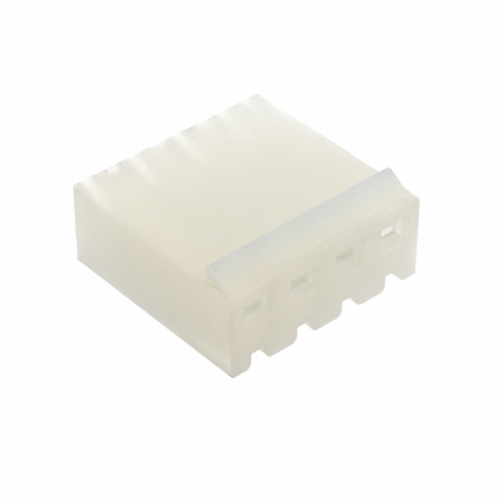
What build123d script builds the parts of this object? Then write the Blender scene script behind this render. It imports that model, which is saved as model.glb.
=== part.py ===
from build123d import *
import os

# Wire to board connector housing, moulded in one piece from natural nylon, with four circuits in a row.
# X runs along the row, Y from the mating face to the wire face, and Z is up.
# The origin is at the centre of the underside. All sizes are in millimetres.

# Row of circuits
circuits = 4
pitch = 3.96
end_offset = 2.32  # outer side face to the centre of the nearest circuit

# Body
body_length = 16.13  # mating face to wire face
body_height = 6.30  # underside to the flat top, without the ramp
side_round = 0.20  # edges around both side faces
brow_round = 0.25  # upper edge of the mating face
heel_round = 0.55  # lower edge of the wire face

# Cavity from the front wall to the wire face, which holds one crimped terminal
front_wall = 1.15
cavity_width = 3.00
floor_thickness = 1.50
roof_thickness = 0.80

# Pin hole through the front wall, with a bevelled lead-in at the mating face
pin_hole_width = 1.95
pin_hole_height = 1.45
pin_hole_drop = 1.26  # flat top down to the upper side of the pin hole
lead_in = 0.30  # depth of the bevel, and how far it widens the hole on each side

# Slot under each circuit, open at the mating face, which ends at the shoulder that locks the terminal
slot_width = 1.32
slot_height = 1.18  # under the front wall, where the slot has a roof
slot_length = 5.20
slot_lip_round = 0.50

# Friction-lock ramp across the top
ramp_inset = 0.30  # side face to the end of the ramp
ramp_foot = 0.75  # mating face to the start of the slope
ramp_crest = 2.79  # mating face to the crest
ramp_height = 1.28  # flat top to the crest before it is rounded
ramp_back_lean = 0.12  # how far the steep side's base stands behind the crest
ramp_crest_round = 0.12
ramp_end_round = 0.15
ramp_root = 0.40  # how far the ramp's solid reaches down into the body

# How far a cut runs on past the wall that it opens
overrun = 0.50

body_width = pitch * (circuits - 1) + 2 * end_offset
mating_y = -body_length / 2
wire_y = body_length / 2
cavity_height = body_height - floor_thickness - roof_thickness
cavity_z = floor_thickness + cavity_height / 2
pin_hole_z = body_height - pin_hole_drop - pin_hole_height / 2
circuit_x = [pitch * (i - (circuits - 1) / 2) for i in range(circuits)]


def upright_plane(y, z=0.0):
    """Plane across the cavity at depth y, facing the wire face, with its own Y up."""
    return Plane(origin=(0, y, z), x_dir=(-1, 0, 0), z_dir=(0, 1, 0))


def cross_section(y, z, width, height):
    """Rectangle across the cavity at depth y, centred on height z."""
    return upright_plane(y, z) * Rectangle(width, height)


def plain_body():
    """Body without its ramp: a side profile with rounded brow and heel, run along the row."""
    with BuildSketch(Plane.YZ) as profile:
        with Locations((0, body_height / 2)):
            Rectangle(body_length, body_height)
        corners = profile.vertices().sort_by(Axis.X)
        fillet(corners[:2].sort_by(Axis.Y)[-1], brow_round)
        fillet(corners[-2:].sort_by(Axis.Y)[0], heel_round)
    solid = extrude(profile.sketch, amount=body_width / 2, both=True)
    sides = solid.faces().filter_by(Axis.X)
    return fillet(sides.edges(), side_round)


def lock_ramp():
    """Wedge that climbs from the mating face to its crest and drops steeply behind it."""
    foot = mating_y + ramp_foot
    crest = mating_y + ramp_crest
    back = crest + ramp_back_lean
    with BuildSketch(Plane.YZ) as profile:
        with BuildLine():
            Polyline(
                (foot, body_height - ramp_root),
                (foot, body_height),
                (crest, body_height + ramp_height),
                (back, body_height),
                (back, body_height - ramp_root),
                close=True,
            )
        make_face()
        fillet(profile.vertices().sort_by(Axis.Y)[-1], ramp_crest_round)
    solid = extrude(profile.sketch, amount=body_width / 2 - ramp_inset, both=True)
    ends = solid.faces().filter_by(Axis.X)
    return fillet(ends.edges(), ramp_end_round)


def cavity_cut():
    """Straight cavity from the back of the front wall to the wire face."""
    section = cross_section(mating_y + front_wall, cavity_z, cavity_width, cavity_height)
    return extrude(section, amount=body_length - front_wall)


def pin_hole_cut():
    """Hole for the header's pin, with the lead-in bevel that widens to the mating face."""
    hole = cross_section(mating_y, pin_hole_z, pin_hole_width, pin_hole_height)
    bevel = [
        cross_section(mating_y, pin_hole_z, pin_hole_width + 2 * lead_in, pin_hole_height + 2 * lead_in),
        cross_section(mating_y + lead_in, pin_hole_z, pin_hole_width, pin_hole_height),
    ]
    return extrude(hole, amount=front_wall + overrun) + loft(bevel)


def slot_stretch(start, end, top):
    """Stretch of the slot between two depths, with rounded lips at the underside."""
    half = slot_width / 2
    lip = min(slot_lip_round, slot_height)
    with BuildSketch(upright_plane(start)) as outline:
        with BuildLine():
            CenterArc((-half - lip, lip), lip, 270, 90)
            Polyline((-half, lip), (-half, top), (half, top), (half, lip))
            CenterArc((half + lip, lip), lip, 180, 90)
            Line((half + lip, 0), (-half - lip, 0))
        make_face()
    return extrude(outline.sketch, amount=end - start)


def slot_cut():
    """Slot with a roof under the front wall, open into the cavity behind it."""
    wall_back = mating_y + front_wall
    roofed = slot_stretch(mating_y, wall_back, slot_height)
    window = slot_stretch(wall_back, mating_y + slot_length, floor_thickness + overrun)
    return roofed + window


def housing():
    """Whole moulding: body and ramp, less one set of cuts at each circuit."""
    circuit_cut = cavity_cut() + pin_hole_cut() + slot_cut()
    cuts = [Pos(x, 0, 0) * circuit_cut for x in circuit_x]
    return plain_body() + lock_ramp() - cuts


os.makedirs("parts", exist_ok=True)
export_step(housing(), "parts/housing.step")
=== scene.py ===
import math

import bpy
from mathutils import Matrix, Vector


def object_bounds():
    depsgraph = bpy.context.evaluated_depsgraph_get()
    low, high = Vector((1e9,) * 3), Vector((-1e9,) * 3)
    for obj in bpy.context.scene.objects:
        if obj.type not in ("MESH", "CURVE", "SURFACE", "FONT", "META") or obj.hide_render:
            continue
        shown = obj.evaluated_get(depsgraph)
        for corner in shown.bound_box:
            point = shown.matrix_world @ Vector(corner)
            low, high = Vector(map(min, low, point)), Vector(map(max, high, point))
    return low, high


# Connector housing in natural nylon on a pale floor, in soft light from all round.
# All lengths are in metres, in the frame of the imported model. X runs along the row of circuits, from left to
# right in the photograph, and Y runs from the mating face to the wire face.

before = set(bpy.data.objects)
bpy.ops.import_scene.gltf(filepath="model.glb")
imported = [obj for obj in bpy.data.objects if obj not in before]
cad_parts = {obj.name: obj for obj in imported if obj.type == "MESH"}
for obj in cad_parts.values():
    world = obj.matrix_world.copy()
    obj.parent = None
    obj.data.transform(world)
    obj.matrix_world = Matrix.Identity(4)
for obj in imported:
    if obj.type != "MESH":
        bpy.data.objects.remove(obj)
cad_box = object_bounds()
cad_low, cad_high = cad_box

MM = 0.001

# Body of the housing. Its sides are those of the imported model, whose highest point is the crest of the ramp.
TOP_Z = 6.30 * MM
RAMP_TOP_Z = cad_high.z
LEFT_X = cad_low.x
MATING_Y = cad_low.y
WIRE_Y = cad_high.y
BODY_SIZE = Vector((cad_high.x - LEFT_X, WIRE_Y - MATING_Y, TOP_Z))

# Row of circuits
CIRCUITS = 4
PITCH = 3.96 * MM
CAVITY_WIDTH = 3.00 * MM

# Camera, set to the photograph's viewing angle, with its angles in degrees
CAMERA_AIM = Vector((-1.260, -1.846, 3.150)) * MM
CAMERA_AZIMUTH = -41.357  # turned about Z from a view along +Y
CAMERA_ELEVATION = 38.437
CAMERA_ROLL = 0.163
CAMERA_DISTANCE = 145.01 * MM
CAMERA_SENSOR = 36.0  # width in millimetres, like the lens
CAMERA_LENS = 158.03
CAMERA_CLIP = (10 * MM, 20.0)

# Floor
FLOOR_HALF = 1.5  # half of its width
FLOOR_GAP = 0.02 * MM  # the floor lies this far under the housing
FLOOR_SEEN = 0.99  # brightness of the paper as it is seen
FLOOR_CAST = 0.86  # brightness that it casts on the housing

# Sky, a soft dome that is brightest behind the housing on the right
SKY_BRIGHT = 1.45
SKY_DIM = 0.88
SKY_AIM = Vector((0.8, 0.5, 0.45))
SKY_SPREAD = (-0.6, 1.0)  # cosine of the angle to SKY_AIM where the dome starts to brighten, and at its peak

# Colours of the nylon. A pair of near and far goes from the left end of the mating face to the right end of
# the wire face; the darker, warmer near colour is painted shade, on the side away from the brightest light.
NYLON_NEAR_SHADE = (0.970, 0.893, 0.700)
NYLON_FAR = (0.985, 0.985, 0.930)
NYLON_CLOUD = (0.960, 0.960, 0.900)
NYLON_RAMP_SHADE = (0.765, 0.838, 0.920)  # crest of the ramp, painted darker and bluer as shade
NYLON_INSIDE_LIT = (0.999, 0.994, 0.962)  # walls of the cavities, painted lighter to lift the shade in them

# Share of the light that goes straight through the nylon's surface, which is 0 inside the cavities
CLEAR_NEAR = 0.46
CLEAR_FAR = 0.34
CLEAR_NEAR_EDGE = 0.69
CLEAR_FAR_EDGE = 0.38
CLEAR_NEAR_RAMP = 0.68
CLEAR_FAR_RAMP = 0.54
CLEAR_MARK = 0.54
CLEAR_STREAK = 0.22
TOP_SLANT = 0.12  # gain over the body's width from right to left, for the left half of the top
FRONT_SLANT = 0.10  # gain over the body's width from right to left, for the mating face

# Light inside the nylon
NYLON_DEPTH = 8.0 * MM  # how far it wanders
NYLON_IOR = 1.53

# Where one look of the nylon goes over into another
INSIDE_SPAN = (-0.3 * MM, -0.7 * MM)  # past the nearest face of the body
TOP_SPAN = (TOP_Z - 0.3 * MM, TOP_Z - 0.1 * MM)
RAMP_SPAN = (TOP_Z - 0.1 * MM, RAMP_TOP_Z - 0.2 * MM)
FRONT_SPAN = (MATING_Y + 0.5 * MM, MATING_Y + 0.1 * MM)

# Look of the body's edges
EDGE_SPAN = (-1.8 * MM, 0.0)  # past the next nearest face of the body
EDGE_HEIGHT = (1.5 * MM, 4.5 * MM)  # from where the edges are faintest to where they are strongest
EDGE_FAINTEST = 0.1
EDGE_LEAN = 0.4  # how much the place along X counts from near to far, beside 1 for the place along Y

# Faint clouds in the plastic
CLOUD_SIZE = 3.0 * MM
CLOUD_NOISE = (0.45, 0.75)  # noise at the rim of a cloud and at its core
CLOUD_SHARE = 0.5  # of a cloud's own colour at its core

# Bright streaks on the top over both sides of each cavity, where its mouth lets light in. Each has its
# distance from the left wall of the cavity, measured at the wire face, and its length.
STREAKS = ((0.27 * MM, 4.4 * MM), (2.50 * MM, 1.2 * MM))
STREAK_FULL = 0.4  # share of its length over which a streak is at its brightest
STREAK_LEAN = 0.18  # to the left, as a share of the depth
STREAK_HALF = 0.38 * MM  # half of its width
STREAK_BLUR = 0.22 * MM  # how far it fades on each side of its rim
STREAK_FAINTEST = 0.87  # strength at the left side of the housing

# Marks on the top along the wire face, where the mouths of the cavities show through
MARK_SIZE = 0.5 * MM
MARK_NOISE = (0.50, 0.62)  # noise at the rim of a mark and at its core
MARK_DEPTH = (1.0 * MM, 0.2 * MM)  # from where the marks start to where they are strongest

# Satin surface with a fine grain
SATIN = (0.32, 0.48)  # least and greatest roughness
SATIN_NOISE = (0.3, 0.7)  # noise where the surface is least rough and where it is roughest
SATIN_SIZE = 1.2 * MM
GRAIN_SIZE = 0.2 * MM
GRAIN_DEPTH = 0.01 * MM

# Light passes through many walls of the housing before it is spent
DIFFUSE_BOUNCES = 24
ALL_BOUNCES = 32


def aim_rotation(azimuth, elevation, roll):
    """Rotation of a camera that looks back at its aim from this azimuth and elevation."""
    turn = Matrix.Rotation(math.radians(azimuth), 4, "Z")
    tilt = Matrix.Rotation(math.radians(90 - elevation), 4, "X")
    spin = Matrix.Rotation(math.radians(roll), 4, "Z")
    return turn @ tilt @ spin


def put_camera():
    """Camera at the photograph's angle and framing."""
    data = bpy.data.cameras.new("camera")
    data.sensor_width = CAMERA_SENSOR
    data.lens = CAMERA_LENS
    data.clip_start, data.clip_end = CAMERA_CLIP
    camera = bpy.data.objects.new("camera", data)
    bpy.context.scene.collection.objects.link(camera)
    rotation = aim_rotation(CAMERA_AZIMUTH, CAMERA_ELEVATION, CAMERA_ROLL)
    back = rotation @ Vector((0, 0, 1))
    camera.matrix_world = Matrix.Translation(CAMERA_AIM + back * CAMERA_DISTANCE) @ rotation
    bpy.context.scene.camera = camera


def feed(tree, socket, value):
    """Links an output to this input, or sets the input to a plain value."""
    if isinstance(value, bpy.types.NodeSocket):
        tree.links.new(value, socket)
    else:
        socket.default_value = value


def calc(tree, operation, *values):
    """Result of one step of arithmetic."""
    node = tree.nodes.new("ShaderNodeMath")
    node.operation = operation
    for socket, value in zip(node.inputs, values):
        feed(tree, socket, value)
    return node.outputs["Value"]


def vector_calc(tree, operation, *values, result="Vector"):
    """Result of one step of arithmetic with vectors."""
    node = tree.nodes.new("ShaderNodeVectorMath")
    node.operation = operation
    for socket, value in zip(node.inputs, values):
        feed(tree, socket, value)
    return node.outputs[result]


def split(tree, vector):
    """X, Y and Z of a vector."""
    node = tree.nodes.new("ShaderNodeSeparateXYZ")
    tree.links.new(vector, node.inputs["Vector"])
    return node.outputs["X"], node.outputs["Y"], node.outputs["Z"]


def rise(tree, value, start, end, low=0.0, high=1.0):
    """Goes smoothly from low to high as the value goes from start to end."""
    node = tree.nodes.new("ShaderNodeMapRange")
    node.interpolation_type = "SMOOTHSTEP"
    feed(tree, node.inputs["Value"], value)
    node.inputs["From Min"].default_value = start
    node.inputs["From Max"].default_value = end
    node.inputs["To Min"].default_value = low
    node.inputs["To Max"].default_value = high
    return node.outputs["Result"]


def along(tree, value, size):
    """Goes evenly from 0 to 1 as the value goes from end to end of a size that is centred on 0."""
    return calc(tree, "MULTIPLY_ADD", value, 1 / size, 0.5)


def product(tree, *values):
    """Product of several values."""
    result = values[0]
    for value in values[1:]:
        result = calc(tree, "MULTIPLY", result, value)
    return result


def blend(tree, share, plain, other):
    """Goes from plain to other, two values or two colours, as the share goes from 0 to 1."""
    node = tree.nodes.new("ShaderNodeMix")
    kind = "VALUE"
    if isinstance(other, tuple):
        node.data_type = "RGBA"
        kind = "RGBA"
    feed(tree, node.inputs["Factor"], share)
    ends = [socket for socket in node.inputs if socket.type == kind and socket.name in "AB"]
    for socket, value in zip(ends, (plain, other)):
        feed(tree, socket, (*value, 1.0) if isinstance(value, tuple) else value)
    return [socket for socket in node.outputs if socket.type == kind][0]


def noise(tree, place, size):
    """Random value that varies smoothly over spots of this size, mostly from 0.3 to 0.7."""
    node = tree.nodes.new("ShaderNodeTexNoise")
    tree.links.new(place, node.inputs["Vector"])
    node.inputs["Scale"].default_value = 1 / size
    return node.outputs["Fac"]


def put_sky():
    """Soft white dome of light, brightest towards SKY_AIM."""
    world = bpy.data.worlds.new("sky")
    world.use_nodes = True
    tree = world.node_tree
    background = tree.nodes["Background"]
    background.inputs["Color"].default_value = (1.0, 1.0, 1.0, 1.0)
    where = tree.nodes.new("ShaderNodeTexCoord").outputs["Generated"]
    towards = vector_calc(tree, "DOT_PRODUCT", where, SKY_AIM.normalized(), result="Value")
    feed(tree, background.inputs["Strength"], rise(tree, towards, *SKY_SPREAD, SKY_DIM, SKY_BRIGHT))
    bpy.context.scene.world = world


def paper_material():
    """Bright paper under the housing, which glows enough to leave no shadow."""
    material = bpy.data.materials.new("floor_paper")
    material.use_nodes = True
    tree = material.node_tree
    tree.nodes.remove(tree.nodes["Principled BSDF"])
    rays = tree.nodes.new("ShaderNodeLightPath")
    glow = tree.nodes.new("ShaderNodeEmission")
    feed(tree, glow.inputs["Strength"], blend(tree, rays.outputs["Is Camera Ray"], FLOOR_CAST, FLOOR_SEEN))
    tree.links.new(glow.outputs["Emission"], tree.nodes["Material Output"].inputs["Surface"])
    return material


def put_floor():
    """Plain pale floor under the housing."""
    mesh = bpy.data.meshes.new("floor")
    signs = [(-1, -1), (1, -1), (1, 1), (-1, 1)]
    corners = [(x * FLOOR_HALF, y * FLOOR_HALF, -FLOOR_GAP) for x, y in signs]
    mesh.from_pydata(corners, [], [(0, 1, 2, 3)])
    floor = bpy.data.objects.new("floor", mesh)
    bpy.context.scene.collection.objects.link(floor)
    mesh.materials.append(paper_material())


def past_faces(tree, place):
    """How far a point stands past its nearest face of the body, and past the next nearest, below 0 inside."""
    centred = vector_calc(tree, "SUBTRACT", place, Vector((0, 0, BODY_SIZE.z / 2)))
    reach = vector_calc(tree, "ABSOLUTE", centred)
    x, y, z = split(tree, vector_calc(tree, "SUBTRACT", reach, BODY_SIZE / 2))
    nearest = calc(tree, "MAXIMUM", calc(tree, "MAXIMUM", x, y), z)
    farthest = calc(tree, "MINIMUM", calc(tree, "MINIMUM", x, y), z)
    total = calc(tree, "ADD", calc(tree, "ADD", x, y), z)
    return nearest, calc(tree, "SUBTRACT", calc(tree, "SUBTRACT", total, nearest), farthest)


def streak_share(tree, x, depth, inset, length):
    """How much a point lies in a row of streaks, from its X and its depth in front of the wire face."""
    first = -(CIRCUITS - 1) / 2 * PITCH - CAVITY_WIDTH / 2 + inset
    leaning = calc(tree, "MULTIPLY_ADD", depth, STREAK_LEAN, calc(tree, "SUBTRACT", x, first))
    offset = calc(tree, "PINGPONG", leaning, PITCH / 2)
    return product(
        tree,
        rise(tree, offset, STREAK_HALF + STREAK_BLUR, STREAK_HALF - STREAK_BLUR),
        rise(tree, depth, length, STREAK_FULL * length),
        rise(tree, x, LEFT_X, 0.0, STREAK_FAINTEST, 1.0),
    )


def mark_share(tree, place, depth):
    """How much a point lies in a mark along the wire face."""
    spots = rise(tree, noise(tree, place, MARK_SIZE), *MARK_NOISE)
    return product(tree, spots, rise(tree, depth, *MARK_DEPTH))


def nylon_look(tree, place):
    """Colour of the nylon, with painted light and shade, and the share of light that it lets straight through.
    """
    x, y, z = split(tree, place)
    depth = calc(tree, "SUBTRACT", WIRE_Y, y)
    nearest, second = past_faces(tree, place)
    inside = rise(tree, nearest, *INSIDE_SPAN)
    edge_strength = rise(tree, z, *EDGE_HEIGHT, EDGE_FAINTEST, 1.0)
    on_edge = product(tree, rise(tree, second, *EDGE_SPAN), edge_strength)
    on_top = rise(tree, z, *TOP_SPAN)
    on_ramp = rise(tree, z, *RAMP_SPAN)
    on_front = rise(tree, y, *FRONT_SPAN)
    clouds = rise(tree, noise(tree, place, CLOUD_SIZE), *CLOUD_NOISE, 0.0, CLOUD_SHARE)

    # Shares from near to far, along the body and along its edges, and from its middle to the left
    far = along(tree, calc(tree, "ADD", x, y), BODY_SIZE.x + BODY_SIZE.y)
    rightward = along(tree, x, BODY_SIZE.x)
    backward = along(tree, y, BODY_SIZE.y)
    leaning = calc(tree, "MULTIPLY_ADD", rightward, EDGE_LEAN, backward)
    far_on_edge = calc(tree, "DIVIDE", leaning, EDGE_LEAN + 1)
    leftward = calc(tree, "SUBTRACT", 0.5, rightward)

    # Painted shade: the nylon is darker and warmer towards the near left corner
    colour = blend(tree, far, NYLON_NEAR_SHADE, NYLON_FAR)
    colour = blend(tree, clouds, colour, NYLON_CLOUD)
    # Painted light: the walls of the cavities are lighter, to lift their shade
    colour = blend(tree, inside, colour, NYLON_INSIDE_LIT)
    # Painted shade: the crest of the ramp is darker and bluer
    colour = blend(tree, on_ramp, colour, NYLON_RAMP_SHADE)

    top_gain = product(tree, on_top, calc(tree, "MAXIMUM", leftward, 0.0), TOP_SLANT)
    front_gain = product(tree, on_front, leftward, FRONT_SLANT)
    clear = blend(tree, far, CLEAR_NEAR, CLEAR_FAR)
    clear = calc(tree, "ADD", calc(tree, "ADD", clear, top_gain), front_gain)
    clear = blend(tree, on_edge, clear, blend(tree, far_on_edge, CLEAR_NEAR_EDGE, CLEAR_FAR_EDGE))
    clear = blend(tree, product(tree, on_top, mark_share(tree, place, depth)), clear, CLEAR_MARK)
    for inset, length in STREAKS:
        streak = streak_share(tree, x, depth, inset, length)
        clear = blend(tree, product(tree, on_top, streak), clear, CLEAR_STREAK)
    clear = blend(tree, on_ramp, clear, blend(tree, far, CLEAR_NEAR_RAMP, CLEAR_FAR_RAMP))
    clear = blend(tree, inside, clear, 0.0)
    return colour, clear


def nylon_material():
    """Milky moulded nylon: light wanders inside it, under a satin surface."""
    material = bpy.data.materials.new("natural_nylon")
    material.use_nodes = True
    tree = material.node_tree
    nylon = tree.nodes["Principled BSDF"]
    place = tree.nodes.new("ShaderNodeTexCoord").outputs["Object"]
    colour, clear = nylon_look(tree, place)
    roughness = rise(tree, noise(tree, place, SATIN_SIZE), *SATIN_NOISE, *SATIN)
    grain = tree.nodes.new("ShaderNodeBump")
    grain.inputs["Distance"].default_value = GRAIN_DEPTH
    tree.links.new(noise(tree, place, GRAIN_SIZE), grain.inputs["Height"])
    tree.links.new(colour, nylon.inputs["Base Color"])
    tree.links.new(clear, nylon.inputs["Transmission Weight"])
    tree.links.new(roughness, nylon.inputs["Roughness"])
    tree.links.new(grain.outputs["Normal"], nylon.inputs["Normal"])
    nylon.subsurface_method = "RANDOM_WALK"
    nylon.inputs["Subsurface Weight"].default_value = 1.0
    nylon.inputs["Subsurface Radius"].default_value = (1.0, 1.0, 1.0)
    nylon.inputs["Subsurface Scale"].default_value = NYLON_DEPTH
    nylon.inputs["IOR"].default_value = NYLON_IOR
    return material


def dress_housing():
    """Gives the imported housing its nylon."""
    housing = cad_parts["housing"]
    material = nylon_material()
    for slot in housing.material_slots:
        slot.material = material


put_camera()
put_sky()
put_floor()
dress_housing()
scene = bpy.context.scene
scene.view_settings.view_transform = "Standard"
scene.cycles.diffuse_bounces = DIFFUSE_BOUNCES
scene.cycles.max_bounces = ALL_BOUNCES
